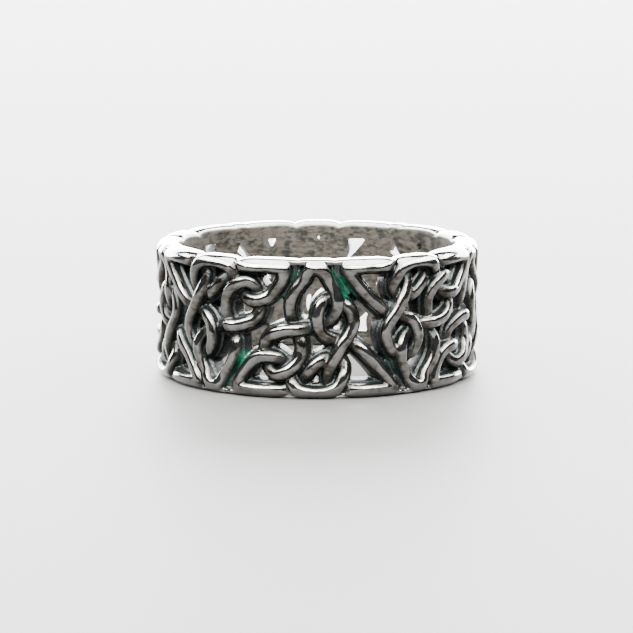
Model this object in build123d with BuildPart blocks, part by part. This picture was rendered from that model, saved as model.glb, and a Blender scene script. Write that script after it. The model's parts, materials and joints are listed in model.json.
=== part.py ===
"""Celtic knot ring: a cast band pierced right through and woven of triangular knots.

The finger hole runs along Z and the band lies on its lower rim, which touches the plane Z = 0.
Knots stand point up and point down in turn. Each knot has three closed strands. A strand is a wall
that grows out of the bore: its crest is high where it passes over another strand and low where it
passes under one, and there it is cut into spans whose ends stay hidden in the strand above. Low
pads fill the angles at the crossings, and both rims are rounded, outside and in the bore.
"""

import math
import os
from typing import NamedTuple

from build123d import *

# finger hole and band
bore_diameter = 18.1
wall_thickness = 1.6
band_height = 8.8
knots_each_way = 5

# from the front knot to the knots beside it, share of an even pitch
front_spread = 1.075

# strand, measured square to its run
strand_width = 0.96
strand_draft = 0.2
crest_rise = 0.14
under_drop = 0.6

# rounded corner of a knot, a little prouder than the strand
corner_diameter = 1.04
corner_rise = 0.03

# low pad that fills the angles at a crossing and at a corner
pad_diameter = 1.64
pad_thickness = 0.8

# outer and inner edges of both rims
rim_rounding = 0.75
bore_rounding = 0.42

# recessed floor of the channel between two knots
floor_width = 1.5
floor_thickness = 0.75

# sharpest bend that a strand takes without a corner, in degrees
corner_turn = 75

# raw walls reach this far past the bore before they are trimmed
trim_allowance = 0.5

# the rims' rounding starts this far outside the highest crests
crest_clearance = 0.05

bore_radius = bore_diameter / 2
outer_radius = bore_radius + wall_thickness
knot_count = 2 * knots_each_way
knot_pitch = 360 / knot_count
foot = -wall_thickness - trim_allowance
hidden_end = strand_width / 8


class Station(NamedTuple):
    """One section of a strand."""

    across: float  # from the middle of the knot, share of the knot pitch
    up: float  # share of the band height
    level: float  # 0 where it passes under, 1 where it passes over


# top loop, left flank and the curl inside the left corner
crown_strand = [
    Station(0.0, 0.944, 1.0),
    Station(0.08, 0.912, 0.9),
    Station(0.131, 0.853, 0.7),
    Station(0.187, 0.778, 0.8),
    Station(0.212, 0.7, 1.0),
    Station(0.2, 0.635, 0.9),
    Station(0.155, 0.58, 0.6),
    Station(0.085, 0.545, 0.3),
    Station(0.012, 0.525, 0.0),
    Station(-0.09, 0.505, 0.5),
    Station(-0.18, 0.498, 1.0),
    Station(-0.285, 0.492, 0.9),
    Station(-0.39, 0.468, 0.8),
    Station(-0.475, 0.43, 0.6),
    Station(-0.515, 0.365, 0.4),
    Station(-0.505, 0.3, 0.0),
    Station(-0.46, 0.205, 0.5),
    Station(-0.39, 0.17, 0.8),
    Station(-0.28, 0.195, 1.0),
    Station(-0.19, 0.25, 0.9),
    Station(-0.14, 0.325, 0.7),
    Station(-0.145, 0.41, 0.6),
    Station(-0.205, 0.525, 0.0),
    Station(-0.243, 0.615, 0.6),
    Station(-0.24, 0.7, 0.8),
    Station(-0.195, 0.78, 0.8),
    Station(-0.108, 0.862, 0.7),
    Station(-0.06, 0.922, 0.9),
]

# left corner loop and the arch on the rim
left_strand = [
    Station(-0.79, 0.062, 0.95),
    Station(-0.75, 0.155, 0.9),
    Station(-0.66, 0.24, 0.8),
    Station(-0.58, 0.285, 0.9),
    Station(-0.485, 0.303, 1.0),
    Station(-0.38, 0.29, 0.7),
    Station(-0.275, 0.21, 0.0),
    Station(-0.245, 0.13, 0.7),
    Station(-0.18, 0.068, 1.0),
    Station(-0.085, 0.046, 1.0),
    Station(0.01, 0.04, 1.0),
    Station(0.115, 0.05, 1.0),
    Station(0.21, 0.085, 1.0),
    Station(0.262, 0.15, 0.9),
    Station(0.282, 0.215, 0.6),
    Station(0.238, 0.27, 0.3),
    Station(0.165, 0.293, 0.0),
    Station(0.075, 0.285, 0.6),
    Station(-0.005, 0.243, 0.7),
    Station(-0.085, 0.185, 0.6),
    Station(-0.2, 0.1, 0.0),
    Station(-0.31, 0.062, 0.8),
    Station(-0.45, 0.055, 1.0),
    Station(-0.64, 0.055, 1.0),
]

# right corner loop, inner hook and right flank
right_strand = [
    Station(0.79, 0.06, 0.95),
    Station(0.697, 0.157, 0.9),
    Station(0.595, 0.243, 0.8),
    Station(0.495, 0.315, 0.8),
    Station(0.4, 0.375, 0.6),
    Station(0.285, 0.42, 0.0),
    Station(0.18, 0.428, 0.5),
    Station(0.1, 0.448, 0.8),
    Station(0.04, 0.5, 0.9),
    Station(0.012, 0.572, 1.0),
    Station(0.03, 0.645, 0.9),
    Station(0.085, 0.7, 0.7),
    Station(0.2, 0.713, 0.0),
    Station(0.285, 0.675, 0.6),
    Station(0.345, 0.615, 0.7),
    Station(0.37, 0.54, 0.8),
    Station(0.325, 0.46, 0.9),
    Station(0.255, 0.39, 1.0),
    Station(0.195, 0.31, 1.0),
    Station(0.14, 0.225, 0.8),
    Station(0.12, 0.16, 0.5),
    Station(0.14, 0.105, 0.2),
    Station(0.235, 0.085, 0.0),
    Station(0.34, 0.062, 0.8),
    Station(0.46, 0.055, 1.0),
    Station(0.62, 0.055, 1.0),
]

# channel floors beside the top loop, from the rim down to the gap at mid height
floor_level = 1 - (wall_thickness - floor_thickness) / under_drop
left_floor = [
    Station(-0.15, 0.955, floor_level),
    Station(-0.225, 0.86, floor_level),
    Station(-0.31, 0.745, floor_level),
]
right_floor = [
    Station(0.16, 0.955, floor_level),
    Station(0.24, 0.86, floor_level),
    Station(0.33, 0.74, floor_level),
]


def flattened(station):
    """Place of a station on the outer cylinder rolled out flat."""
    return Vector(
        math.radians(station.across * knot_pitch) * outer_radius,
        station.up * band_height,
    )


def crest_of(station):
    """Height of the crest, from the outer radius."""
    return (station.level - 1) * under_drop


def facing_plane(station):
    """X lies round the band, Y along the bore and Z points outward from the outer radius."""
    bearing = math.radians(station.across * knot_pitch)
    outward = Vector(math.sin(bearing), -math.cos(bearing), 0)
    around = Vector(math.cos(bearing), math.sin(bearing), 0)
    origin = outward * outer_radius + Vector(0, 0, station.up * band_height)
    return Plane(origin=origin, x_dir=around, z_dir=outward)


def section_plane(station, heading):
    """X lies across the strand and Y points outward, with its zero on the outer radius."""
    facing = facing_plane(station)
    run = facing.x_dir * heading.X + facing.y_dir * heading.Y
    return Plane(origin=facing.origin, x_dir=facing.z_dir.cross(run), z_dir=run)


def wall_section(plane, width, crest):
    """Drafted wall with a rounded crest."""
    half_foot = width / 2
    half_top = (width - strand_draft) / 2
    with BuildSketch(plane) as section:
        with BuildLine():
            Polyline(
                (-half_top, crest - crest_rise),
                (-half_foot, foot),
                (half_foot, foot),
                (half_top, crest - crest_rise),
            )
            ThreePointArc(
                (half_top, crest - crest_rise),
                (0, crest),
                (-half_top, crest - crest_rise),
            )
        make_face()
    return section.sketch


def bend_at(before, here, after):
    """Turn of a strand at a station, in degrees."""
    arriving = flattened(here) - flattened(before)
    leaving = flattened(after) - flattened(here)
    return arriving.get_angle(leaving)


def spans_of(strand):
    """Cut a closed strand at its under-passes and corners."""
    count = len(strand)
    cuts = [
        index
        for index, station in enumerate(strand)
        if station.level == 0
        or bend_at(strand[index - 1], station, strand[(index + 1) % count]) > corner_turn
    ]
    return [
        [strand[index % count] for index in range(first, last + 1)]
        for first, last in zip(cuts, cuts[1:] + [cuts[0] + count])
    ]


def sections_of(span, width):
    """Mitred sections along a span, the ends square to it and drawn back under the strand above."""
    places = [flattened(station) for station in span]
    runs = [(after - before).normalized() for before, after in zip(places, places[1:])]
    arriving = [runs[0]] + runs
    leaving = runs + [runs[-1]]
    sections = []
    for station, incoming, outgoing in zip(span, arriving, leaving):
        plane = section_plane(station, (incoming + outgoing).normalized())
        if station.level == 0:
            plane = plane.offset(hidden_end if station is span[0] else -hidden_end)
        mitred = width / math.cos(math.radians(incoming.get_angle(outgoing) / 2))
        sections.append(wall_section(plane, mitred, crest_of(station)))
    return sections


def corner_knob(station):
    """The strand's section turned about the outward line through a corner."""
    plane = section_plane(station, Vector(0, 1))
    crest = crest_of(station) + corner_rise
    half_foot = corner_diameter / 2
    half_top = (corner_diameter - strand_draft) / 2
    crest_radius = (half_top**2 + crest_rise**2) / (2 * crest_rise)
    with BuildPart() as knob:
        with BuildSketch(plane):
            with BuildLine():
                Polyline(
                    (0, crest),
                    (0, foot),
                    (half_foot, foot),
                    (half_top, crest - crest_rise),
                )
                RadiusArc((half_top, crest - crest_rise), (0, crest), -crest_radius)
            make_face()
        revolve(axis=Axis(plane.origin, plane.y_dir))
    return knob.part


def low_pad(station):
    """Round pad on the bore, below the strands."""
    with BuildPart() as pad:
        with BuildSketch(facing_plane(station).offset(pad_thickness - wall_thickness)):
            Circle(pad_diameter / 2)
        extrude(amount=-pad_thickness - trim_allowance)
    return pad.part


# one knot, point up, trimmed to the bore and to both rounded rims
with BuildPart() as knot:
    for strand in (crown_strand, left_strand, right_strand):
        for span in spans_of(strand):
            loft(sections_of(span, strand_width), clean=False)
        for station in strand:
            if station.level == 0:
                add(low_pad(station), clean=False)
    for strand in (left_strand, right_strand):
        add(corner_knob(strand[0]), clean=False)
        add(low_pad(strand[0]), clean=False)
    for floor in (left_floor, right_floor):
        loft(sections_of(floor, floor_width), clean=False)
    with BuildSketch(Plane.XZ) as trimmed_section:
        with Locations((bore_radius, 0)):
            Rectangle(wall_thickness + crest_clearance, band_height, align=Align.MIN)
        fillet(trimmed_section.vertices().group_by(Axis.X)[-1], rim_rounding)
        fillet(trimmed_section.vertices().group_by(Axis.X)[0], bore_rounding)
    revolve(axis=Axis.Z, mode=Mode.INTERSECT, clean=False)

def knot_bearing(number):
    """Bearing of a knot from the front one, in degrees."""
    if number == 0:
        return 0
    even_rest = (knot_count - 2 * front_spread) / (knot_count - 2)
    return (front_spread + (number - 1) * even_rest) * knot_pitch


# knots point up and point down in turn, fused into one casting
point_down = Location((0, 0, band_height), (0, 180, 0))
with BuildPart() as knot_band:
    for number in range(knot_count):
        turned = Location((0, 0, 0), (0, 0, knot_bearing(number)))
        with Locations(turned * point_down if number % 2 else turned):
            add(knot.part, clean=False)
knot_band.part.label = "knot_band"

os.makedirs("parts", exist_ok=True)
export_step(knot_band.part, "parts/knot_band.step", write_pcurves=False)
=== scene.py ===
"""Celtic knot ring: the cast silver band, its blackened recesses and the studio it is shown in."""

import json
import math
from typing import NamedTuple

import bmesh
import bpy
import numpy as np
from bpy.props import FloatProperty, FloatVectorProperty, IntProperty, PointerProperty
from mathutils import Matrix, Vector
from mathutils.bvhtree import BVHTree


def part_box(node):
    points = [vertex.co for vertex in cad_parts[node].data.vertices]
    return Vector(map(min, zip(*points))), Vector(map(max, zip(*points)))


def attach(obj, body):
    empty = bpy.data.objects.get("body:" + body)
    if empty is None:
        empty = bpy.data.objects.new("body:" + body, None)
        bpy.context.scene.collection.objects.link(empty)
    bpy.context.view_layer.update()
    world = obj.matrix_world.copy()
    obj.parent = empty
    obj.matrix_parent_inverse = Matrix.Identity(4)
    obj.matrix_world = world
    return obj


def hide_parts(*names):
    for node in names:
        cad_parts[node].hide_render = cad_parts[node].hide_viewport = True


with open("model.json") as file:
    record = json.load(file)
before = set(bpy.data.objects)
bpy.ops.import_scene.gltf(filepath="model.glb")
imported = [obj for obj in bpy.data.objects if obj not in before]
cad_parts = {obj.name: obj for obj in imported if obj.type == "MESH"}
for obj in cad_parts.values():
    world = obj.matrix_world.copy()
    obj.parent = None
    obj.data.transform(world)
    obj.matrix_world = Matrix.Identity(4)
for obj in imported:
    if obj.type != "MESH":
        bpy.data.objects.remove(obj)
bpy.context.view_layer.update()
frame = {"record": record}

bl_info = {
    "name": "Celtic Knot Ring",
    "version": (1, 0, 0),
    "blender": (4, 5, 0),
    "location": "View3D > Sidebar > Knot Ring",
    "description": "A cast band pierced and woven of triangular knots, with its studio",
    "category": "Add Mesh",
}

MM = 0.001
BAND_NODE = "knot_band"
FINGER_BORE = next(m for m in frame["record"]["mounts"] if m["name"] == "finger_bore")
CAD_LOW, CAD_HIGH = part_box(BAND_NODE)

# what every length and every colour property shares
LENGTH = {"subtype": "DISTANCE", "unit": "LENGTH", "precision": 5}
COLOUR = {"subtype": "COLOR", "size": 3, "min": 0, "max": 1}

# spacing of the points along a strand's line and along a channel's
STRAND_STEP = 0.09 * MM
CHANNEL_STEP = 0.2 * MM

# a strand has a tight corner at its first station if it turns by more than this there, in degrees
CORNER_TURN = 75

# points that are eased on each side of a tight corner, and how often
EASED_POINTS = 5
EASING_ROUNDS = 8

# draft and crest rounding of the webs, pads and channel floors
WEB_DRAFT = 0.3 * MM
WEB_ROUNDING = 0.1 * MM
PAD_DRAFT = 0.12 * MM
CHANNEL_ROUNDING = 0.05 * MM

# raw walls reach this far into the bore before they are trimmed
TRIM_ALLOWANCE = 0.4 * MM

# sides of a pad, and points on each rounded edge of a wall
PAD_SIDES = 40
ROUNDING_POINTS = 4

# evening out of the cast surface, its most triangles and the sharpest edge that is shaded smooth
CAST_SMOOTHING = 0.5
SMOOTHING_ROUNDS = 3
MOST_TRIANGLES = 190000
SHARPEST_SMOOTH = math.radians(40)

# metal within this reach shuts a point in, measured from just above the surface
SHUT_IN_REACH = 1.3 * MM
SURFACE_GAP = 0.02 * MM

# the green lies within this reach of a channel's middle line and fades over this much of it
TINT_REACH = 0.95 * MM
TINT_FADE = 0.45 * MM

# inputs of the trees that shape the walls and the pads
WALL_INPUTS = ("Foot Width", "Crest Width", "Crest Rounding", "Crest Depth", "Foot Depth")
PAD_INPUTS = ("Pad Radius", "Pad Draft", "Crest Depth", "Foot Depth")

# noise in the metal: scale, detail, roughness and stretch
GRAINS = {
    "fine": (9000.0, 4.0, 0.65, (1.0, 1.0, 1.0)),
    "broad": (1100.0, 3.0, 0.55, (1.0, 1.0, 1.0)),
    "mottle": (1900.0, 4.0, 0.6, (1.0, 1.0, 2.2)),
    "scratch": (2600.0, 2.0, 0.5, (1.0, 1.0, 9.0)),
    "cross_scratch": (2200.0, 2.0, 0.5, (1.0, 7.0, 1.0)),
    "speck": (11000.0, 2.0, 0.6, (1.0, 1.0, 1.0)),
    "crust": (6500.0, 3.0, 0.6, (1.0, 1.0, 1.0)),
    "wave": (1400.0, 2.0, 0.5, (1.0, 1.0, 1.0)),
}

# where each mask starts and where it is full
MASKS = {
    "outside_bore": (0.02 * MM, 0.10 * MM),  # beyond the bore
    "off_rim": (0.25 * MM, 0.55 * MM),  # from the nearer rim
    "low": (0.34, 0.60),  # millimetres below the highest crests
    "below_crest": (0.02, 0.16),
    "green": (0.22, 0.5),
    "shut_in": (0.10, 0.28),
    # duller metal: partly wear, partly painted shade in shut-in places
    "wear_and_shade": (-0.04, 0.14),
    "dull": (0.36, 0.66),
    "speck": (0.52, 0.64),
    "glow": (0.36, 0.66),
    "satin": (0.3, 0.7),
    "bore_stain": (0.42, 0.70),
}

# roughness of the crests and of worn metal, and what oxide and the bore's satin add
CREST_ROUGHNESS = 0.09
WORN_ROUGHNESS = 0.14
OXIDE_ROUGHNESS = 0.2
SATIN_ROUGHNESS = 0.22

# bumps in the metal: strength and height
BUMPS = {
    "crust": (1.0, 0.03 * MM),
    "wave": (1.0, 0.006 * MM),
    "line": (0.6, 0.0006 * MM),
}

# floor and air of the studio
FLOOR_RADIUS = 3.0
FLOOR_SIDES = 96
FLOOR_ROUGHNESS = 0.6
FLOOR_SHINE = 0.25
AIR_COLOUR = (0.96, 0.98, 1.0, 1)
AIR_BRIGHTNESS = 0.25

# camera: sensor in millimetres, picture and focal length in pixels, and the ring's middle in the picture
SENSOR_WIDTH = 36.0
PICTURE_SIDE = 633
PICTURE_MIDDLE = PICTURE_SIDE / 2
FOCAL_LENGTH = 2492.0
RING_ACROSS = 317.2
RING_DOWN = 304.0

# the ring's outer radius as a share of the camera's distance, and the view onto it in degrees
RADIUS_SEEN = 0.0654
VIEW_BEARING = 0.5
VIEW_LIFT = 7.5


class SoftBox(NamedTuple):
    """A soft box, turned to face the ring."""

    name: str
    bearing: float  # from straight behind the ring round to its right, in degrees
    lift: float  # above the floor, in degrees
    away: float
    size: tuple
    strength: float  # share of the lamp brightness
    colour: tuple


SOFT_BOXES = (
    SoftBox("front_box", 188.0, 45.0, 0.5, (0.75, 0.25), 1.3, (1.0, 0.99, 0.97)),
    SoftBox("right_box", 90.0, 45.0, 0.5, (0.7, 0.18), 1.2, (1.0, 1.0, 0.99)),
    SoftBox("left_box", 270.0, 45.0, 0.5, (0.7, 0.18), 1.2, (1.0, 1.0, 0.99)),
    SoftBox("top_box", 0.0, 89.9, 0.5, (0.62, 0.56), 0.8, (1.0, 1.0, 1.0)),
    SoftBox("back_box", 0.0, 17.5, 1.1, (3.1, 0.66), 1.2, (0.98, 0.99, 1.0)),
)


class Station(NamedTuple):
    """One point of a strand's route."""

    across: float  # from the middle of the knot, share of the knot pitch
    up: float  # share of the band height
    level: float  # 0 where it passes under, 1 where it passes over


# top loop, left flank and the curl inside the left corner
CROWN_STRAND = (
    Station(0.0, 0.944, 1.0),
    Station(0.08, 0.912, 0.9),
    Station(0.131, 0.853, 0.7),
    Station(0.187, 0.778, 0.8),
    Station(0.212, 0.7, 1.0),
    Station(0.2, 0.635, 0.9),
    Station(0.155, 0.58, 0.6),
    Station(0.085, 0.545, 0.3),
    Station(0.012, 0.525, 0.0),
    Station(-0.09, 0.505, 0.5),
    Station(-0.18, 0.498, 1.0),
    Station(-0.285, 0.492, 0.9),
    Station(-0.39, 0.468, 0.8),
    Station(-0.475, 0.43, 0.6),
    Station(-0.515, 0.365, 0.4),
    Station(-0.505, 0.3, 0.0),
    Station(-0.46, 0.205, 0.5),
    Station(-0.39, 0.17, 0.8),
    Station(-0.28, 0.195, 1.0),
    Station(-0.19, 0.25, 0.9),
    Station(-0.14, 0.325, 0.7),
    Station(-0.145, 0.41, 0.6),
    Station(-0.205, 0.525, 0.0),
    Station(-0.243, 0.615, 0.6),
    Station(-0.24, 0.7, 0.8),
    Station(-0.195, 0.78, 0.8),
    Station(-0.108, 0.862, 0.7),
    Station(-0.06, 0.922, 0.9),
)

# left corner loop and the arch on the rim
LEFT_STRAND = (
    Station(-0.79, 0.062, 1.0),
    Station(-0.75, 0.155, 0.9),
    Station(-0.66, 0.24, 0.8),
    Station(-0.58, 0.285, 0.9),
    Station(-0.485, 0.303, 1.0),
    Station(-0.38, 0.29, 0.7),
    Station(-0.275, 0.21, 0.0),
    Station(-0.245, 0.13, 0.7),
    Station(-0.18, 0.068, 1.0),
    Station(-0.085, 0.046, 1.0),
    Station(0.01, 0.04, 1.0),
    Station(0.115, 0.05, 1.0),
    Station(0.21, 0.085, 1.0),
    Station(0.262, 0.15, 0.9),
    Station(0.282, 0.215, 0.6),
    Station(0.238, 0.27, 0.3),
    Station(0.165, 0.293, 0.0),
    Station(0.075, 0.285, 0.6),
    Station(-0.005, 0.243, 0.7),
    Station(-0.085, 0.185, 0.6),
    Station(-0.2, 0.1, 0.0),
    Station(-0.31, 0.062, 0.8),
    Station(-0.45, 0.055, 1.0),
    Station(-0.64, 0.055, 1.0),
)

# right corner loop, inner hook and right flank
RIGHT_STRAND = (
    Station(0.79, 0.06, 1.0),
    Station(0.697, 0.157, 0.9),
    Station(0.595, 0.243, 0.8),
    Station(0.495, 0.315, 0.8),
    Station(0.4, 0.375, 0.6),
    Station(0.285, 0.42, 0.0),
    Station(0.18, 0.428, 0.5),
    Station(0.1, 0.448, 0.8),
    Station(0.04, 0.5, 0.9),
    Station(0.012, 0.572, 1.0),
    Station(0.03, 0.645, 0.9),
    Station(0.085, 0.7, 0.7),
    Station(0.2, 0.713, 0.0),
    Station(0.285, 0.675, 0.6),
    Station(0.345, 0.615, 0.7),
    Station(0.37, 0.54, 0.8),
    Station(0.325, 0.46, 0.9),
    Station(0.255, 0.39, 1.0),
    Station(0.195, 0.31, 1.0),
    Station(0.14, 0.225, 0.8),
    Station(0.12, 0.16, 0.5),
    Station(0.14, 0.105, 0.2),
    Station(0.235, 0.085, 0.0),
    Station(0.34, 0.062, 0.8),
    Station(0.46, 0.055, 1.0),
    Station(0.62, 0.055, 1.0),
)
STRANDS = (CROWN_STRAND, LEFT_STRAND, RIGHT_STRAND)

# channel floors beside the top loop, from the rim down to the gap at mid height
CHANNEL_ROUTES = (
    (Station(-0.15, 0.955, 1.0), Station(-0.225, 0.86, 1.0), Station(-0.31, 0.745, 1.0)),
    (Station(0.16, 0.955, 1.0), Station(0.24, 0.86, 1.0), Station(0.33, 0.74, 1.0)),
)

# notches in a rim between its strands: place from the middle of the knot that arches over that rim,
# as a share of the pitch, and depth as a share of the full notch
RIM_NOTCHES = ((-0.9, 0.3), (-0.265, 1.0), (0.25, 1.0), (0.89, 0.3))

# how green the left and right channel of each knot has turned, from the front knot round to the right
CHANNEL_TINTS = (
    (0.55, 1.0),
    (0.6, 0.45),
    (0.3, 0.5),
    (0.5, 0.25),
    (0.3, 0.6),
    (0.4, 0.3),
    (0.6, 0.25),
    (0.35, 0.4),
    (0.5, 0.35),
    (1.0, 0.6),
)


class KnotRingSizes(bpy.types.PropertyGroup):
    """Sizes of the band and its strands."""

    bore_diameter: FloatProperty(
        name="Bore Diameter",
        description="Inside of the ring",
        default=FINGER_BORE["dims"]["r_mm"] * 2 * MM,
        **LENGTH,
    )
    outside_diameter: FloatProperty(
        name="Outside Diameter",
        description="Across the highest crests of the strands",
        default=21.3 * MM,
        **LENGTH,
    )
    band_height: FloatProperty(
        name="Band Height",
        description="From the lower rim to the upper rim",
        default=CAD_HIGH.z - CAD_LOW.z,
        **LENGTH,
    )
    knots_each_way: IntProperty(
        name="Knots Each Way",
        description="Knots standing point up, and as many again point down between them",
        default=5,
        min=2,
    )
    front_spread: FloatProperty(
        name="Front Spread",
        description="Pitch from the front knot to the knots beside it, as a share of the even pitch",
        default=1.075,
        min=1.0,
        max=1.2,
    )
    strand_width: FloatProperty(
        name="Strand Width",
        description="Width of a strand at its foot",
        default=0.92 * MM,
        **LENGTH,
    )
    strand_draft: FloatProperty(
        name="Strand Draft",
        description="How much narrower a strand is at its crest",
        default=0.14 * MM,
        **LENGTH,
    )
    crest_rounding: FloatProperty(
        name="Crest Rounding",
        description="Radius of a crest's two edges",
        default=0.31 * MM,
        **LENGTH,
    )
    under_drop: FloatProperty(
        name="Under Drop",
        description="How much lower a strand lies where it passes under another",
        default=0.65 * MM,
        **LENGTH,
    )
    web_width: FloatProperty(
        name="Web Width",
        description="Width of the low web that carries a strand",
        default=1.45 * MM,
        **LENGTH,
    )
    web_depth: FloatProperty(
        name="Web Depth",
        description="How far the web lies below the highest crests",
        default=0.75 * MM,
        **LENGTH,
    )
    crossing_pad: FloatProperty(
        name="Crossing Pad",
        description="Radius of the low pad under each crossing and corner",
        default=0.82 * MM,
        **LENGTH,
    )
    rim_rounding: FloatProperty(
        name="Rim Rounding",
        description="Radius of the outer edges of both rims",
        default=0.75 * MM,
        **LENGTH,
    )
    bore_rounding: FloatProperty(
        name="Bore Rounding",
        description="Radius of the inner edges of both rims",
        default=0.42 * MM,
        **LENGTH,
    )
    rim_notch: FloatProperty(
        name="Rim Notch",
        description="How far a rim dips between two of its strands",
        default=0.2 * MM,
        **LENGTH,
    )
    rim_depth: FloatProperty(
        name="Rim Depth",
        description="How far the plain edge under the rim's strands lies below the highest crests",
        default=0.34 * MM,
        **LENGTH,
    )
    rim_height: FloatProperty(
        name="Rim Height",
        description="Height of the plain edge under the rim's strands",
        default=0.34 * MM,
        **LENGTH,
    )
    floor_width: FloatProperty(
        name="Floor Width",
        description="Width of the recessed floor between two knots",
        default=1.5 * MM,
        **LENGTH,
    )
    floor_thickness: FloatProperty(
        name="Floor Thickness",
        description="Metal left under the recessed floor",
        default=0.75 * MM,
        **LENGTH,
    )
    casting_voxel: FloatProperty(
        name="Casting Detail",
        description="Smallest form that the cast surface keeps",
        default=0.06 * MM,
        **LENGTH,
    )


class KnotRingFinish(bpy.types.PropertyGroup):
    """Colours of the metal and of what lies in its recesses; the metal's colours are kept dark as a
    painted reflection of dark surroundings, and the duller metal also as painted shade.
    """

    # kept dark: the polished crests carry a painted reflection of dark surroundings
    silver: FloatVectorProperty(
        name="Silver",
        description="Polished crests",
        default=(0.170, 0.168, 0.163),
        **COLOUR,
    )
    # darker still: wear plus painted shade and painted reflection of dark surroundings
    worn_shaded_silver: FloatVectorProperty(
        name="Worn Shaded Silver",
        description="Warm grey of the duller metal",
        default=(0.050, 0.047, 0.042),
        **COLOUR,
    )
    dull_silver: FloatVectorProperty(
        name="Dull Silver",
        description="Brownish cloud in the worn metal",
        default=(0.034, 0.028, 0.022),
        **COLOUR,
    )
    oxide: FloatVectorProperty(
        name="Oxide",
        description="Blackened recesses",
        default=(0.002, 0.0043, 0.0043),
        **COLOUR,
    )
    patina: FloatVectorProperty(
        name="Green Patina",
        description="Tint that has settled in the channels",
        default=(0.0, 0.036, 0.019),
        **COLOUR,
    )
    # kept dark: satin metal with painted shade of the inside of the band
    shaded_bore_silver: FloatVectorProperty(
        name="Shaded Bore Silver",
        description="Satin metal of the finger hole",
        default=(0.060, 0.057, 0.049),
        **COLOUR,
    )


class KnotRingStage(bpy.types.PropertyGroup):
    """Floor and lamps."""

    floor_colour: FloatVectorProperty(
        name="Floor Colour",
        description="Paint of the plain floor, which the bright lamps turn pale",
        default=(0.036, 0.0352, 0.0342),
        **COLOUR,
    )
    lamp_power: FloatProperty(
        name="Lamp Brightness",
        description="Brightness of the soft boxes' faces",
        default=42.0,
        min=0,
    )


def outer_radius(sizes):
    """Radius of the highest crests."""
    return sizes.outside_diameter / 2


def pitch_angle(sizes):
    """Angle from one knot to the next."""
    return math.pi / sizes.knots_each_way


def knot_bearing(knot, sizes):
    """Bearing of a knot from the front one, in even pitches."""
    count = 2 * sizes.knots_each_way
    if knot % count == 0:
        return 0.0
    rest = (count - 2 * sizes.front_spread) / (count - 2)
    return sizes.front_spread + (knot % count - 1) * rest


def laid_flat(station, sizes):
    """A station on the outside rolled out flat: along, up and below the highest crest."""
    return np.array(
        (
            station.across * pitch_angle(sizes) * outer_radius(sizes),
            station.up * sizes.band_height,
            (station.level - 1) * sizes.under_drop,
        )
    )


def smooth_run(places, step, closed):
    """A smooth line through the places, its points about a step apart."""
    count = len(places)
    spans = count if closed else count - 1
    points = []
    for index in range(spans):
        if closed:
            p0, p1, p2, p3 = (places[(index + shift) % count] for shift in (-1, 0, 1, 2))
        else:
            p1, p2 = places[index], places[index + 1]
            p0 = places[index - 1] if index else 2 * p1 - p2
            p3 = places[index + 2] if index + 2 < count else 2 * p2 - p1
        t0 = 0.0
        t1 = t0 + np.linalg.norm(p1 - p0) ** 0.5
        t2 = t1 + np.linalg.norm(p2 - p1) ** 0.5
        t3 = t2 + np.linalg.norm(p3 - p2) ** 0.5
        parts = max(2, round(np.linalg.norm(p2 - p1) / step))
        for t in np.linspace(t1, t2, parts, endpoint=False):
            a1 = (t1 - t) / (t1 - t0) * p0 + (t - t0) / (t1 - t0) * p1
            a2 = (t2 - t) / (t2 - t1) * p1 + (t - t1) / (t2 - t1) * p2
            a3 = (t3 - t) / (t3 - t2) * p2 + (t - t2) / (t3 - t2) * p3
            b1 = (t2 - t) / (t2 - t0) * a1 + (t - t0) / (t2 - t0) * a2
            b2 = (t3 - t) / (t3 - t1) * a2 + (t - t1) / (t3 - t1) * a3
            points.append((t2 - t) / (t2 - t1) * b1 + (t - t1) / (t2 - t1) * b2)
    if not closed:
        points.append(places[-1])
    return np.array(points)


def strand_line(strand, sizes, step=STRAND_STEP):
    """Centre line of a closed strand, with a tight bend where it turns back at a corner."""
    places = [laid_flat(station, sizes) for station in strand]
    arriving, leaving = places[0] - places[-1], places[1] - places[0]
    turn = abs(math.degrees(math.atan2(
        arriving[0] * leaving[1] - arriving[1] * leaving[0],
        arriving[0] * leaving[0] + arriving[1] * leaving[1],
    )))
    if turn < CORNER_TURN:
        return smooth_run(places, step, closed=True)
    line = smooth_run(places + [places[0]], step, closed=False)[:-1]
    near = range(-EASED_POINTS, EASED_POINTS + 1)
    for _ in range(EASING_ROUNDS):
        eased = {i: (line[i - 1] + 2 * line[i] + line[(i + 1) % len(line)]) / 4 for i in near}
        for index, place in eased.items():
            line[index] = place
    return line


def route_object(name, lines, closed):
    """Lines as loose edges, each point carrying how far its crest lies below the highest."""
    vertices, edges = [], []
    for line in lines:
        first = len(vertices)
        vertices += [tuple(place) for place in line]
        edges += [(first + i, first + i + 1) for i in range(len(line) - 1)]
        if closed:
            edges.append((first + len(line) - 1, first))
    mesh = bpy.data.meshes.new(name)
    mesh.from_pydata([(x, y, 0.0) for x, y, _ in vertices], edges, [])
    drop = mesh.attributes.new("crest_drop", "FLOAT", "POINT")
    drop.data.foreach_set("value", [z for _, _, z in vertices])
    route = bpy.data.objects.new(name, mesh)
    bpy.context.scene.collection.objects.link(route)
    return route


class TreeMaker:
    """Shorthand for building a node tree."""

    def __init__(self, tree):
        self.tree = tree

    def add(self, kind, **settings):
        """A new node of a kind."""
        node = self.tree.nodes.new(kind)
        for key, value in settings.items():
            setattr(node, key, value)
        return node

    def join(self, source, target):
        """Links an output to an input."""
        self.tree.links.new(source, target)

    def maths(self, operation, *values):
        """The result of a sum on outputs and plain numbers."""
        node = self.add("ShaderNodeMath", operation=operation)
        for index, value in enumerate(values):
            if isinstance(value, bpy.types.NodeSocket):
                self.join(value, node.inputs[index])
            else:
                node.inputs[index].default_value = value
        return node.outputs[0]


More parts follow.
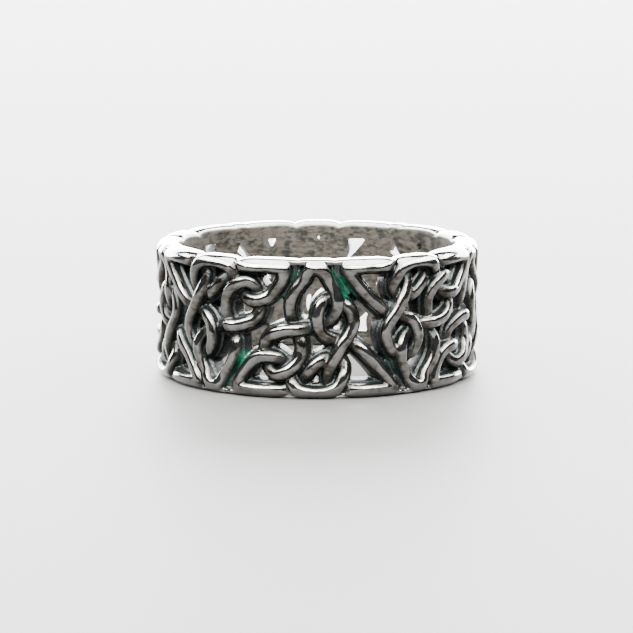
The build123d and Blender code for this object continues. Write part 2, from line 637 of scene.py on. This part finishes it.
def new_tree(name, distances, others=()):
    """An empty geometry tree with named inputs: its maker, its inputs and its output."""
    tree = bpy.data.node_groups.new(name, "GeometryNodeTree")
    face = tree.interface
    face.new_socket("Geometry", in_out="OUTPUT", socket_type="NodeSocketGeometry")
    face.new_socket("Geometry", in_out="INPUT", socket_type="NodeSocketGeometry")
    for label in distances:
        face.new_socket(label, in_out="INPUT", socket_type="NodeSocketFloat").subtype = "DISTANCE"
    for label, kind in others:
        face.new_socket(label, in_out="INPUT", socket_type=kind)
    make = TreeMaker(tree)
    return make, make.add("NodeGroupInput").outputs, make.add("NodeGroupOutput").inputs[0]


def strand_tree():
    """Sweeps a wall along each flat line and lowers its crest where it passes under."""
    make, given, result = new_tree("Strand Walls", WALL_INPUTS)

    # wall section: the profile's Y points into the band
    wall_depth = make.maths("SUBTRACT", given["Foot Depth"], given["Crest Depth"])
    section = make.add("GeometryNodeCurvePrimitiveQuadrilateral", mode="TRAPEZOID")
    make.join(wall_depth, section.inputs["Height"])
    make.join(given["Crest Width"], section.inputs["Bottom Width"])
    make.join(given["Foot Width"], section.inputs["Top Width"])
    section.inputs["Offset"].default_value = 0.0
    half_way = make.maths("MULTIPLY", make.maths("ADD", given["Foot Depth"], given["Crest Depth"]), 0.5)
    lower = make.add("ShaderNodeCombineXYZ")
    make.join(half_way, lower.inputs["Y"])
    placed = make.add("GeometryNodeTransform")
    make.join(section.outputs[0], placed.inputs["Geometry"])
    make.join(lower.outputs[0], placed.inputs["Translation"])
    rounded = make.add("GeometryNodeFilletCurve", mode="POLY")
    rounded.inputs["Count"].default_value = ROUNDING_POINTS
    rounded.inputs["Limit Radius"].default_value = True
    make.join(placed.outputs[0], rounded.inputs["Curve"])
    make.join(given["Crest Rounding"], rounded.inputs["Radius"])

    # sweep along the flat lines
    lines = make.add("GeometryNodeMeshToCurve")
    make.join(given["Geometry"], lines.inputs["Mesh"])
    upright = make.add("GeometryNodeSetCurveNormal", mode="Z_UP")
    make.join(lines.outputs[0], upright.inputs["Curve"])
    swept = make.add("GeometryNodeCurveToMesh")
    swept.inputs["Fill Caps"].default_value = True
    make.join(upright.outputs[0], swept.inputs["Curve"])
    make.join(rounded.outputs[0], swept.inputs["Profile Curve"])

    # lower the crests where a strand passes under
    drop = make.add("GeometryNodeInputNamedAttribute", data_type="FLOAT")
    drop.inputs["Name"].default_value = "crest_drop"
    place = make.add("ShaderNodeSeparateXYZ")
    make.join(make.add("GeometryNodeInputPosition").outputs[0], place.inputs[0])
    middle = make.maths("MULTIPLY", half_way, -1.0)
    is_crest = make.maths("GREATER_THAN", place.outputs["Z"], middle)
    lowered = make.add("ShaderNodeCombineXYZ")
    make.join(make.maths("MULTIPLY", is_crest, drop.outputs["Attribute"]), lowered.inputs["Z"])
    wall = make.add("GeometryNodeSetPosition")
    make.join(swept.outputs[0], wall.inputs["Geometry"])
    make.join(lowered.outputs[0], wall.inputs["Offset"])
    make.join(wall.outputs[0], result)
    return make.tree


def pad_tree():
    """Sets a low pad with drafted sides on every point."""
    make, given, result = new_tree("Crossing Pads", PAD_INPUTS)
    pad = make.add("GeometryNodeMeshCone")
    pad.inputs["Vertices"].default_value = PAD_SIDES
    make.join(make.maths("SUBTRACT", given["Pad Radius"], given["Pad Draft"]), pad.inputs["Radius Top"])
    make.join(given["Pad Radius"], pad.inputs["Radius Bottom"])
    make.join(make.maths("SUBTRACT", given["Foot Depth"], given["Crest Depth"]), pad.inputs["Depth"])
    sunk = make.add("ShaderNodeCombineXYZ")
    make.join(make.maths("MULTIPLY", given["Foot Depth"], -1.0), sunk.inputs["Z"])
    placed = make.add("GeometryNodeTransform")
    make.join(pad.outputs["Mesh"], placed.inputs["Geometry"])
    make.join(sunk.outputs[0], placed.inputs["Translation"])
    points = make.add("GeometryNodeMeshToPoints")
    make.join(given["Geometry"], points.inputs["Mesh"])
    pads = make.add("GeometryNodeInstanceOnPoints")
    make.join(points.outputs[0], pads.inputs["Points"])
    make.join(placed.outputs[0], pads.inputs["Instance"])
    real = make.add("GeometryNodeRealizeInstances")
    make.join(pads.outputs[0], real.inputs[0])
    make.join(real.outputs[0], result)
    return make.tree


def repeat_tree():
    """Bends a flat knot round the band, turns a copy upside down and repeats both."""
    make, given, result = new_tree(
        "Knots Round The Band",
        ("Outer Radius", "Band Height"),
        (
            ("Knots Each Way", "NodeSocketInt"),
            ("Front Spread", "NodeSocketFloat"),
            ("Material", "NodeSocketMaterial"),
        ),
    )
    place = make.add("ShaderNodeSeparateXYZ")
    make.join(make.add("GeometryNodeInputPosition").outputs[0], place.inputs[0])
    radius = make.maths("ADD", place.outputs["Z"], given["Outer Radius"])
    turn = make.maths("DIVIDE", place.outputs["X"], given["Outer Radius"])
    bent = make.add("ShaderNodeCombineXYZ")
    make.join(make.maths("MULTIPLY", radius, make.maths("SINE", turn)), bent.inputs["X"])
    make.join(
        make.maths("MULTIPLY", make.maths("MULTIPLY", radius, -1.0), make.maths("COSINE", turn)),
        bent.inputs["Y"],
    )
    make.join(place.outputs["Y"], bent.inputs["Z"])
    knot = make.add("GeometryNodeSetPosition")
    make.join(given["Geometry"], knot.inputs["Geometry"])
    make.join(bent.outputs[0], knot.inputs["Position"])

    # the same knot upside down, half way to the next one
    lifted = make.add("ShaderNodeCombineXYZ")
    make.join(given["Band Height"], lifted.inputs["Z"])
    turned = make.add("GeometryNodeTransform")
    turned.inputs["Rotation"].default_value = (0.0, math.pi, 0.0)
    make.join(knot.outputs[0], turned.inputs["Geometry"])
    make.join(lifted.outputs[0], turned.inputs["Translation"])

    # repeat both round the band
    count = make.maths("MULTIPLY", given["Knots Each Way"], 2.0)
    pitch = make.maths("DIVIDE", math.tau, count)
    spread_both = make.maths("MULTIPLY", given["Front Spread"], 2.0)
    left_over = make.maths("SUBTRACT", count, spread_both)
    rest = make.maths("DIVIDE", left_over, make.maths("SUBTRACT", count, 2.0))
    both = make.add("GeometryNodeJoinGeometry")
    for source, start in ((knot, 0.0), (turned, 1.0)):
        single = make.add("GeometryNodeGeometryToInstance")
        make.join(source.outputs[0], single.inputs[0])
        copies = make.add("GeometryNodeDuplicateElements", domain="INSTANCE")
        make.join(single.outputs[0], copies.inputs["Geometry"])
        make.join(given["Knots Each Way"], copies.inputs["Amount"])
        number = make.maths("MULTIPLY_ADD", copies.outputs["Duplicate Index"], 2.0, start)
        further = make.maths("SUBTRACT", number, 1.0)
        beyond = make.maths("MULTIPLY_ADD", further, rest, given["Front Spread"])
        bearing = make.maths("MULTIPLY", beyond, make.maths("MINIMUM", number, 1.0))
        angle = make.maths("MULTIPLY", bearing, pitch)
        about = make.add("ShaderNodeCombineXYZ")
        make.join(angle, about.inputs["Z"])
        spread = make.add("GeometryNodeRotateInstances")
        spread.inputs["Local Space"].default_value = False
        make.join(copies.outputs["Geometry"], spread.inputs["Instances"])
        make.join(about.outputs[0], spread.inputs["Rotation"])
        make.join(spread.outputs[0], both.inputs[0])
    real = make.add("GeometryNodeRealizeInstances")
    make.join(both.outputs[0], real.inputs[0])
    dressed = make.add("GeometryNodeSetMaterial")
    make.join(real.outputs[0], dressed.inputs["Geometry"])
    make.join(given["Material"], dressed.inputs["Material"])
    make.join(dressed.outputs[0], result)
    return make.tree


def grow(thing, label, tree, values):
    """Adds a tree as a modifier, its inputs found by name and set by identifier."""
    modifier = thing.modifiers.new(label, "NODES")
    modifier.node_group = tree
    for item in tree.interface.items_tree:
        if item.item_type == "SOCKET" and item.in_out == "INPUT" and item.name in values:
            modifier[item.identifier] = values[item.name]


def plain_mesh(thing):
    """The object's finished shape as a mesh with no modifiers."""
    graph = bpy.context.evaluated_depsgraph_get()
    return bpy.data.meshes.new_from_object(thing.evaluated_get(graph), depsgraph=graph)


def settle(thing):
    """Makes an object's modifiers part of its mesh."""
    mesh = plain_mesh(thing)
    thing.modifiers.clear()
    thing.data = mesh
    return thing


def rim_notches(sizes, upper):
    """Every notch of a rim, in order round it: bearing and depth."""
    count = 2 * sizes.knots_each_way
    notches = []
    for knot in range(1 if upper else 0, count, 2):
        for place, share in RIM_NOTCHES:
            bearing = knot_bearing(knot, sizes) + (-place if upper else place)
            notches.append((bearing % count, share * sizes.rim_notch))
    return sorted(notches)


def rim_dip(bearing, notches, count):
    """How far a rim dips at a bearing."""
    beyond = notches[1:] + [(notches[0][0] + count, notches[0][1])]
    for (start, first), (end, second) in zip(notches, beyond):
        for place in (bearing, bearing + count):
            if start <= place < end:
                share = 2 * (place - start) / (end - start) - 1
                return (first if share < 0 else second) * share**4
    return 0.0


def tube(name, sections):
    """Closed tube round the bore: one closed section of (radius, height) for each side."""
    mesh = bmesh.new()
    rings = [
        [
            mesh.verts.new((radius * math.sin(turn), -radius * math.cos(turn), height))
            for radius, height in section
        ]
        for turn, section in zip(np.arange(len(sections)) * math.tau / len(sections), sections)
    ]
    for here, beyond in zip(rings, rings[1:] + rings[:1]):
        for index in range(len(here)):
            after = (index + 1) % len(here)
            mesh.faces.new((here[index], beyond[index], beyond[after], here[after]))
    bmesh.ops.recalc_face_normals(mesh, faces=mesh.faces)
    data = bpy.data.meshes.new(name)
    mesh.to_mesh(data)
    mesh.free()
    thing = bpy.data.objects.new(name, data)
    bpy.context.scene.collection.objects.link(thing)
    return thing


def ring_blank(sizes, sides=1440):
    """Rounded and scalloped ring that the casting is trimmed to."""
    bore, outside = sizes.bore_diameter / 2, outer_radius(sizes)
    quarter = [
        (1 - math.sin(angle), 1 - math.cos(angle))
        for angle in (math.radians(degrees) for degrees in range(0, 91, 10))
    ]
    outer = [(outside - sizes.rim_rounding * back, sizes.rim_rounding * up) for back, up in quarter]
    inner = [(bore + sizes.bore_rounding * back, sizes.bore_rounding * up) for back, up in quarter]
    edge = inner[::-1] + outer
    sections = []
    count = 2 * sizes.knots_each_way
    low_notches, high_notches = rim_notches(sizes, False), rim_notches(sizes, True)
    for side in range(sides):
        bearing = count * side / sides
        low, high = rim_dip(bearing, low_notches, count), rim_dip(bearing, high_notches, count)
        lower = [(radius, height + low) for radius, height in edge]
        upper = [(radius, sizes.band_height - high - height) for radius, height in reversed(edge)]
        sections.append(lower + upper)
    return tube("ring_blank", sections)


def plain_edges(sizes, sides=360):
    """The plain edge at the foot of each rim's strands."""
    bore, outside = sizes.bore_diameter / 2, outer_radius(sizes)
    inside, proud = bore - sizes.bore_rounding, outside - sizes.rim_depth
    edges = []
    starts = (("lower_edge", -sizes.rim_height), ("upper_edge", sizes.band_height - sizes.rim_height))
    for name, low in starts:
        high = low + 2 * sizes.rim_height
        section = [(inside, low), (proud, low), (proud, high), (inside, high)]
        edges.append(tube(name, [section] * sides))
    return edges


def cast_together(walls, sizes):
    """Fuses the woven walls into one casting, evens out its surface and trims it."""
    joined = bmesh.new()
    for wall in walls:
        joined.from_mesh(wall.data)
        bpy.data.objects.remove(wall)
    mesh = bpy.data.meshes.new("knot_casting")
    joined.to_mesh(mesh)
    joined.free()
    casting = bpy.data.objects.new("knot_casting", mesh)
    bpy.context.scene.collection.objects.link(casting)
    fused = casting.modifiers.new("fused", "REMESH")
    fused.mode = "VOXEL"
    fused.voxel_size = sizes.casting_voxel
    fused.use_smooth_shade = True
    smoothed = casting.modifiers.new("smoothed", "SMOOTH")
    smoothed.factor = CAST_SMOOTHING
    smoothed.iterations = SMOOTHING_ROUNDS
    settle(casting)
    blank = ring_blank(sizes)
    trimmed = casting.modifiers.new("trimmed", "BOOLEAN")
    trimmed.operation = "INTERSECT"
    trimmed.solver = "MANIFOLD"
    trimmed.object = blank
    settle(casting)
    bpy.data.objects.remove(blank)
    return casting


def lighten(casting, most_triangles):
    """Drops triangles where the surface is flattest."""
    triangles = sum(len(face.vertices) - 2 for face in casting.data.polygons)
    thinned = casting.modifiers.new("thinned", "DECIMATE")
    thinned.ratio = min(1.0, most_triangles / triangles)
    return settle(casting)


def shade(casting, sharpest):
    """Smooth shading that keeps the edges of the bore and rims crisp."""
    mesh = bmesh.new()
    mesh.from_mesh(casting.data)
    for face in mesh.faces:
        face.smooth = True
    for edge in mesh.edges:
        edge.smooth = edge.is_manifold and edge.calc_face_angle() < sharpest
    mesh.to_mesh(casting.data)
    mesh.free()


def shut_in(mesh, reach, rays=28):
    """How shut in each point is: the share of what it faces that metal fills within reach."""
    tree = BVHTree.FromPolygons(
        [vertex.co for vertex in mesh.vertices], [face.vertices for face in mesh.polygons]
    )
    golden = math.pi * (3 - math.sqrt(5))
    fan = []
    for ray in range(rays):
        rise = math.sqrt(1 - (ray + 0.5) / rays)
        spread = math.sqrt(1 - rise * rise)
        fan.append(Vector((math.cos(golden * ray) * spread, math.sin(golden * ray) * spread, rise)))
    amounts = np.zeros(len(mesh.vertices), np.float32)
    for index, vertex in enumerate(mesh.vertices):
        turn = vertex.normal.to_track_quat("Z", "Y").to_matrix()
        start = vertex.co + vertex.normal * SURFACE_GAP
        hits = 0.0
        for ray in fan:
            distance = tree.ray_cast(start, turn @ ray, reach)[3]
            if distance is not None:
                hits += 1 - 0.5 * distance / reach
        amounts[index] = hits / rays
    return amounts


def spread_out(mesh, amounts, rounds):
    """Evens an amount out between neighbouring points."""
    edges = np.zeros(len(mesh.edges) * 2, np.int32)
    mesh.edges.foreach_get("vertices", edges)
    first, second = edges[0::2], edges[1::2]
    for _ in range(rounds):
        total = amounts.copy()
        count = np.ones(len(amounts), np.float32)
        np.add.at(total, first, amounts[second])
        np.add.at(total, second, amounts[first])
        np.add.at(count, first, 1)
        np.add.at(count, second, 1)
        amounts = total / count
    return amounts


def store(mesh, name, amounts):
    """Keeps an amount for each point under a name that the metal reads."""
    layer = mesh.attributes.new(name, "FLOAT", "POINT")
    layer.data.foreach_set("value", np.asarray(amounts, np.float32))


def line_distance(points, line):
    """Distance of flat points from a flat open line."""
    nearest = np.full(len(points), np.inf)
    for start, end in zip(line, line[1:]):
        along = end - start
        share = np.clip(((points - start) @ along) / (along @ along), 0, 1)
        nearest = np.minimum(nearest, np.linalg.norm(points - start - share[:, None] * along, axis=1))
    return nearest


def mark_surface(band, sizes):
    """Records how shut in each point is, which places the oxide and the painted shade of the duller
    metal, and where the green patina has settled.
    """
    mesh = band.data
    places = np.zeros(len(mesh.vertices) * 3)
    mesh.vertices.foreach_get("co", places)
    places = places.reshape(-1, 3)
    bearing = np.arctan2(places[:, 0], -places[:, 1]) / pitch_angle(sizes)
    store(mesh, "recess", spread_out(mesh, shut_in(mesh, SHUT_IN_REACH), 1))
    unit = pitch_angle(sizes) * outer_radius(sizes)
    tint = np.zeros(len(places))
    for knot, amounts in enumerate(CHANNEL_TINTS):
        beyond = bearing - knot_bearing(knot, sizes) + sizes.knots_each_way
        across = beyond % (2 * sizes.knots_each_way) - sizes.knots_each_way
        up = places[:, 2] / sizes.band_height
        if knot % 2:
            across, up = -across, 1 - up
        flat = np.column_stack((across * unit, up * sizes.band_height))
        for route, amount in zip(CHANNEL_ROUTES, amounts):
            line = np.array([laid_flat(s, sizes)[:2] for s in route])
            near = np.clip((TINT_REACH - line_distance(flat, line)) / TINT_FADE, 0, 1)
            tint = np.maximum(tint, near * amount)
    store(mesh, "channel_tint", tint)


def silver_material(finish, sizes):
    """Cast silver: worn bright crests, flanks kept dark by wear, painted shade and painted reflection,
    granular black recesses and a green tint in the channels.
    """
    metal = bpy.data.materials.new("oxidised_silver")
    metal.use_nodes = True
    metal.node_tree.nodes.clear()
    make = TreeMaker(metal.node_tree)

    def amount(name):
        """An amount kept in the mesh."""
        return make.add("ShaderNodeAttribute", attribute_name=name).outputs["Fac"]

    def grain(kind):
        """Noise of one kind."""
        scale, detail, roughness, stretch = GRAINS[kind]
        shaped = make.add("ShaderNodeMapping")
        shaped.inputs["Scale"].default_value = stretch
        make.join(make.add("ShaderNodeTexCoord").outputs["Object"], shaped.inputs["Vector"])
        noise = make.add("ShaderNodeTexNoise")
        noise.inputs["Scale"].default_value = scale
        noise.inputs["Detail"].default_value = detail
        noise.inputs["Roughness"].default_value = roughness
        make.join(shaped.outputs[0], noise.inputs["Vector"])
        return noise.outputs["Fac"]

    def ramp(value, low, high, bottom=0.0, top=1.0):
        """Eases from bottom to top while a value goes from low to high."""
        node = make.add("ShaderNodeMapRange", interpolation_type="SMOOTHSTEP")
        make.join(value, node.inputs["Value"])
        for key, number in (("From Min", low), ("From Max", high), ("To Min", bottom), ("To Max", top)):
            node.inputs[key].default_value = number
        return node.outputs["Result"]

    def mask(kind, value):
        """Eases from 0 to 1 over the range of one kind of mask."""
        return ramp(value, *MASKS[kind])

    def blend(share, first, second):
        """A colour between two, each an output or three plain numbers."""
        node = make.add("ShaderNodeMix", data_type="RGBA")
        make.join(share, node.inputs["Factor"])
        for slot, colour in ((6, first), (7, second)):
            if isinstance(colour, bpy.types.NodeSocket):
                make.join(colour, node.inputs[slot])
            else:
                node.inputs[slot].default_value = (*colour, 1.0)
        return node.outputs[2]

    def times(first, *others):
        """The product of outputs and plain numbers."""
        for other in others:
            first = make.maths("MULTIPLY", first, other)
        return first

    def rest(value):
        """What is left of 1."""
        return make.maths("SUBTRACT", 1.0, value)

    def bump(kind, height, under=None):
        """Bumps of one kind, laid over the ones under them."""
        node = make.add("ShaderNodeBump")
        node.inputs["Strength"].default_value, node.inputs["Distance"].default_value = BUMPS[kind]
        make.join(height, node.inputs["Height"])
        if under is not None:
            make.join(under, node.inputs["Normal"])
        return node.outputs[0]

    def shift(value, by, size):
        """A value made to waver by noise."""
        return make.maths("MULTIPLY_ADD", make.maths("SUBTRACT", by, 0.5), size, value)

    place = make.add("ShaderNodeSeparateXYZ")
    make.join(make.add("ShaderNodeTexCoord").outputs["Object"], place.inputs[0])
    around = [make.maths("POWER", place.outputs[axis], 2.0) for axis in ("X", "Y")]
    radius = make.maths("SQRT", make.maths("ADD", *around))
    depth = make.maths("DIVIDE", make.maths("SUBTRACT", outer_radius(sizes), radius), MM)
    beyond_bore = make.maths("SUBTRACT", radius, sizes.bore_diameter / 2)
    from_top = make.maths("SUBTRACT", sizes.band_height, place.outputs["Z"])
    from_rim = make.maths("MINIMUM", place.outputs["Z"], from_top)
    recess, tint = amount("recess"), amount("channel_tint")
    fine, broad, mottle = grain("fine"), grain("broad"), grain("mottle")
    scratch, cross_scratch = grain("scratch"), grain("cross_scratch")

    # where the metal is worn and darkened as painted shade, black or green
    outside = mask("outside_bore", beyond_bore)
    in_bore = rest(outside)
    off_rim = mask("off_rim", from_rim)
    tint = times(tint, outside)
    low = mask("low", shift(depth, broad, 0.15))
    shut = mask("shut_in", shift(shift(recess, broad, 0.22), fine, 0.20))
    black = times(make.maths("MAXIMUM", shut, low), outside, mask("below_crest", depth), off_rim)
    # the duller metal where a point is shut in: partly wear, partly painted shade that darkens the
    # hollows; less of it near the rims
    wear_and_shade = mask("wear_and_shade", shift(shift(recess, broad, 0.30), mottle, 0.14))
    wear_and_shade = times(wear_and_shade, make.maths("MULTIPLY_ADD", off_rim, 0.7, 0.3))
    dull = mask("dull", shift(mottle, broad, 0.5))
    speck = times(mask("speck", grain("speck")), low, outside, 0.6)
    green = times(tint, mask("green", depth), off_rim)
    glow = times(make.maths("POWER", tint, 1.6), mask("glow", shift(broad, mottle, 0.5)))

    # colour, the outside first and the bore over it
    colour = blend(wear_and_shade, finish.silver, finish.worn_shaded_silver)
    colour = blend(times(dull, wear_and_shade), colour, finish.dull_silver)
    colour = blend(black, colour, finish.oxide)
    colour = blend(speck, colour, finish.worn_shaded_silver)
    colour = blend(green, colour, blend(glow, finish.oxide, finish.patina))
    # the bore: satin streaks and stains on metal kept dark as painted shade
    streaks = mask("satin", shift(mottle, scratch, 0.6))
    stains = times(mask("bore_stain", shift(broad, mottle, 0.9)), 0.75)
    satin = blend(stains, blend(streaks, finish.shaded_bore_silver, finish.dull_silver), finish.oxide)
    colour = blend(in_bore, colour, satin)

    # oxide, patina and satin are less metallic, and oxide and satin are rougher
    metallic = times(rest(times(black, 0.3)), rest(green), rest(times(in_bore, 0.4)))
    rough = ramp(wear_and_shade, 0.0, 1.0, CREST_ROUGHNESS, WORN_ROUGHNESS)
    rough = make.maths("MULTIPLY_ADD", black, OXIDE_ROUGHNESS, rough)
    rough = make.maths("MULTIPLY_ADD", in_bore, SATIN_ROUGHNESS, rough)
    rough = shift(shift(rough, scratch, 0.08), fine, 0.06)
    rough = times(rough, rest(times(green, 0.6)))

    crust = bump("crust", times(grain("crust"), black))
    waves = bump("wave", grain("wave"), under=crust)
    lines = bump("line", make.maths("ADD", scratch, cross_scratch), under=waves)

    shader = make.add("ShaderNodeBsdfPrincipled")
    make.join(colour, shader.inputs["Base Color"])
    make.join(metallic, shader.inputs["Metallic"])
    make.join(rough, shader.inputs["Roughness"])
    make.join(lines, shader.inputs["Normal"])
    make.join(shader.outputs[0], make.add("ShaderNodeOutputMaterial").inputs["Surface"])
    return metal


class KNOTRING_OT_band(bpy.types.Operator):
    """Builds the woven silver band in the place of the plain one"""

    bl_idname = "knotring.band"
    bl_label = "Knot Band"

    def execute(self, context):
        sizes = context.scene.knot_ring_sizes
        radius = outer_radius(sizes)
        wall = radius - sizes.bore_diameter / 2
        swept, padded, repeated = strand_tree(), pad_tree(), repeat_tree()
        metal = silver_material(context.scene.knot_ring_finish, sizes)
        lines = [strand_line(strand, sizes) for strand in STRANDS]
        strands = route_object("strand_lines", lines, closed=True)
        webs = route_object("web_lines", [line * (1, 1, 0) for line in lines], closed=True)
        channels = [[laid_flat(s, sizes) for s in route] for route in CHANNEL_ROUTES]
        floors = route_object(
            "channel_lines",
            [smooth_run(places, CHANNEL_STEP, closed=False) for places in channels],
            closed=False,
        )
        pads = route_object(
            "pad_points",
            [
                [laid_flat(s, sizes) * (1, 1, 0)]
                for strand in STRANDS
                for s in strand
                if s.level == 0 or (s is strand[0] and strand is not CROWN_STRAND)
            ],
            closed=False,
        )
        crest_width = sizes.strand_width - sizes.strand_draft
        web_crest = sizes.web_width - WEB_DRAFT
        floor_width, floor_depth = sizes.floor_width, wall - sizes.floor_thickness
        foot_depth = wall + TRIM_ALLOWANCE
        repeats = {
            "Outer Radius": radius,
            "Band Height": sizes.band_height,
            "Knots Each Way": sizes.knots_each_way,
            "Front Spread": sizes.front_spread,
            "Material": metal,
        }
        walls = []
        for route, tree, inputs, values in (
            (strands, swept, WALL_INPUTS, (sizes.strand_width, crest_width, sizes.crest_rounding, 0.0)),
            (webs, swept, WALL_INPUTS, (sizes.web_width, web_crest, WEB_ROUNDING, sizes.web_depth)),
            (floors, swept, WALL_INPUTS, (floor_width, floor_width, CHANNEL_ROUNDING, floor_depth)),
            (pads, padded, PAD_INPUTS, (sizes.crossing_pad, PAD_DRAFT, sizes.web_depth)),
        ):
            grow(route, "shaped", tree, dict(zip(inputs, (*values, foot_depth))))
            grow(route, "repeated", repeated, repeats)
            walls.append(settle(route))
        band = cast_together(walls + plain_edges(sizes), sizes)
        lighten(band, MOST_TRIANGLES)
        shade(band, SHARPEST_SMOOTH)
        if not band.data.polygons:
            raise RuntimeError("the casting came out empty")
        mark_surface(band, sizes)
        band.data.materials.clear()
        band.data.materials.append(metal)
        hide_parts(BAND_NODE)
        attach(band, "root")
        return {"FINISHED"}


class KNOTRING_OT_stage(bpy.types.Operator):
    """Lays the pale floor, hangs the soft lamps and sets up the camera"""

    bl_idname = "knotring.stage"
    bl_label = "Studio"

    def execute(self, context):
        sizes = context.scene.knot_ring_sizes
        look = context.scene.knot_ring_stage
        floor_mesh = bmesh.new()
        bmesh.ops.create_circle(floor_mesh, cap_ends=True, segments=FLOOR_SIDES, radius=FLOOR_RADIUS)
        data = bpy.data.meshes.new("studio_floor")
        floor_mesh.to_mesh(data)
        floor_mesh.free()
        floor = bpy.data.objects.new("studio_floor", data)
        context.scene.collection.objects.link(floor)
        paint = bpy.data.materials.new("pale_floor")
        paint.use_nodes = True
        coat = paint.node_tree.nodes["Principled BSDF"].inputs
        coat["Base Color"].default_value = (*look.floor_colour, 1)
        coat["Roughness"].default_value = FLOOR_ROUGHNESS
        coat["Specular IOR Level"].default_value = FLOOR_SHINE
        data.materials.append(paint)

        world = bpy.data.worlds.new("studio_air")
        world.use_nodes = True
        air = world.node_tree.nodes["Background"].inputs
        air["Color"].default_value = AIR_COLOUR
        air["Strength"].default_value = AIR_BRIGHTNESS
        context.scene.world = world

        for box in SOFT_BOXES:
            bearing, lift = math.radians(box.bearing), math.radians(box.lift)
            outward = Vector((
                math.sin(bearing) * math.cos(lift),
                math.cos(bearing) * math.cos(lift),
                math.sin(lift),
            ))
            lamp = bpy.data.lights.new(box.name, "AREA")
            lamp.shape = "RECTANGLE"
            lamp.size, lamp.size_y = box.size
            lamp.energy = box.strength * look.lamp_power * math.pi * lamp.size * lamp.size_y
            lamp.color = box.colour
            hung = bpy.data.objects.new(box.name, lamp)
            hung.location = outward * box.away
            hung.rotation_euler = (-outward).to_track_quat("-Z", "Y").to_euler()
            hung.visible_camera = False
            context.scene.collection.objects.link(hung)

        camera = bpy.data.cameras.new("portrait_camera")
        camera.sensor_width = SENSOR_WIDTH
        camera.lens = FOCAL_LENGTH * SENSOR_WIDTH / PICTURE_SIDE
        camera.shift_x = (PICTURE_MIDDLE - RING_ACROSS) / PICTURE_SIDE
        camera.clip_start, camera.clip_end = 0.01, 10.0
        distance = outer_radius(sizes) / RADIUS_SEEN
        bearing = math.radians(VIEW_BEARING)
        height = distance * math.tan(math.radians(VIEW_LIFT)) + sizes.band_height
        pitch = math.atan2(height - sizes.band_height / 2, distance)
        pitch += math.atan((PICTURE_MIDDLE - RING_DOWN) / FOCAL_LENGTH)
        seat = bpy.data.objects.new("portrait_camera", camera)
        seat.location = (distance * math.sin(bearing), -distance * math.cos(bearing), height)
        seat.rotation_euler = (math.pi / 2 - pitch, 0, bearing)
        context.scene.collection.objects.link(seat)
        context.scene.camera = seat
        return {"FINISHED"}


class KNOTRING_PT_sidebar(bpy.types.Panel):
    """Sizes, finish and buttons of the knot ring"""

    bl_idname = "KNOTRING_PT_sidebar"
    bl_label = "Knot Ring"
    bl_space_type = "VIEW_3D"
    bl_region_type = "UI"
    bl_category = "Knot Ring"

    def draw(self, context):
        for operator, groups in (
            (KNOTRING_OT_band, ("knot_ring_sizes", "knot_ring_finish")),
            (KNOTRING_OT_stage, ("knot_ring_stage",)),
        ):
            column = self.layout.column()
            for group in groups:
                settings = getattr(context.scene, group)
                for field in settings.__annotations__:
                    column.prop(settings, field)
            column.operator(operator.bl_idname)


CLASSES = (
    KnotRingSizes,
    KnotRingFinish,
    KnotRingStage,
    KNOTRING_OT_band,
    KNOTRING_OT_stage,
    KNOTRING_PT_sidebar,
)
SETTINGS = {
    "knot_ring_sizes": KnotRingSizes,
    "knot_ring_finish": KnotRingFinish,
    "knot_ring_stage": KnotRingStage,
}


def register():
    """Adds the classes and the scene's settings."""
    for kind in CLASSES:
        bpy.utils.register_class(kind)
    for name, kind in SETTINGS.items():
        setattr(bpy.types.Scene, name, PointerProperty(type=kind))


def unregister():
    """Takes the settings and classes out again, last first."""
    for name in SETTINGS:
        delattr(bpy.types.Scene, name)
    for kind in reversed(CLASSES):
        bpy.utils.unregister_class(kind)


def main():
    """Builds the band and its studio."""
    register()
    bpy.ops.knotring.band()
    bpy.ops.knotring.stage()


if __name__ == "__main__":
    main()
